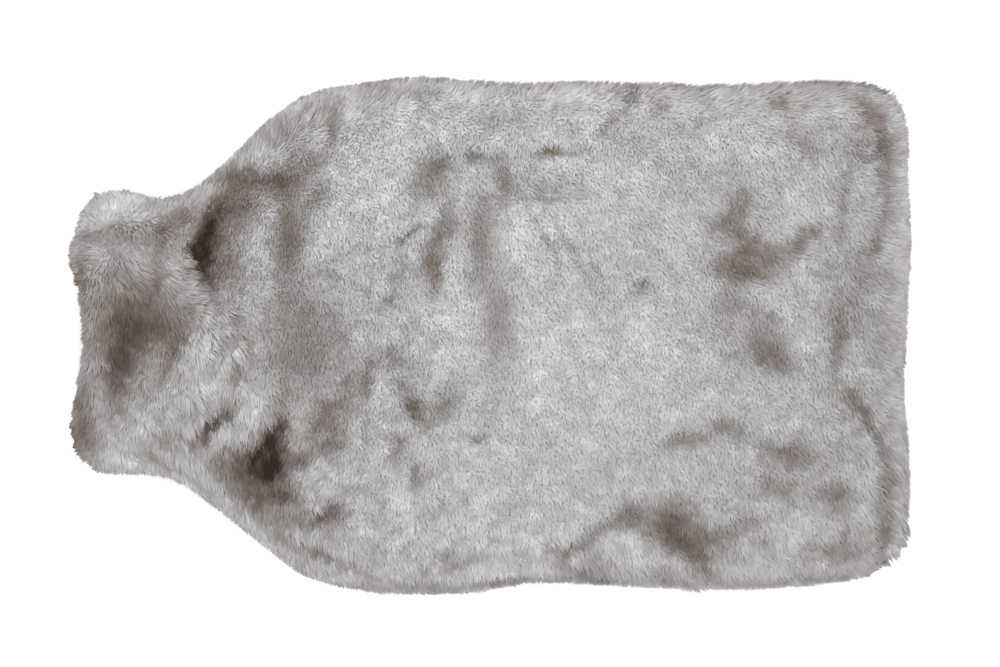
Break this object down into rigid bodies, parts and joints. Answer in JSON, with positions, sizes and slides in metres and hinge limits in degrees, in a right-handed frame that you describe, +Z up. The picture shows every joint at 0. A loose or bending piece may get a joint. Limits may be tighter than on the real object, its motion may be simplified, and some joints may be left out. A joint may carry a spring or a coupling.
{
  "type": "hot water bottle cover",
  "caption": "Fitted faux-fur cover for a hot water bottle, a hollow bag with sloping shoulders and an open neck, lying on its back.",
  "frame": {"origin": "under the middle of the cover, on the surface that it lies on", "axes": "+X from the open neck to the closed end, +Y across the cover, +Z up out of the front panel"},
  "size_m": [0.3707, 0.2289, 0.0471],
  "materials": {
    "fur": "long silver-grey pile, brushed in patches, matt"
  },
  "bodies": {
    "root": {"front_panel": "fur", "back_panel": "fur"}
  },
  "joints": []
}
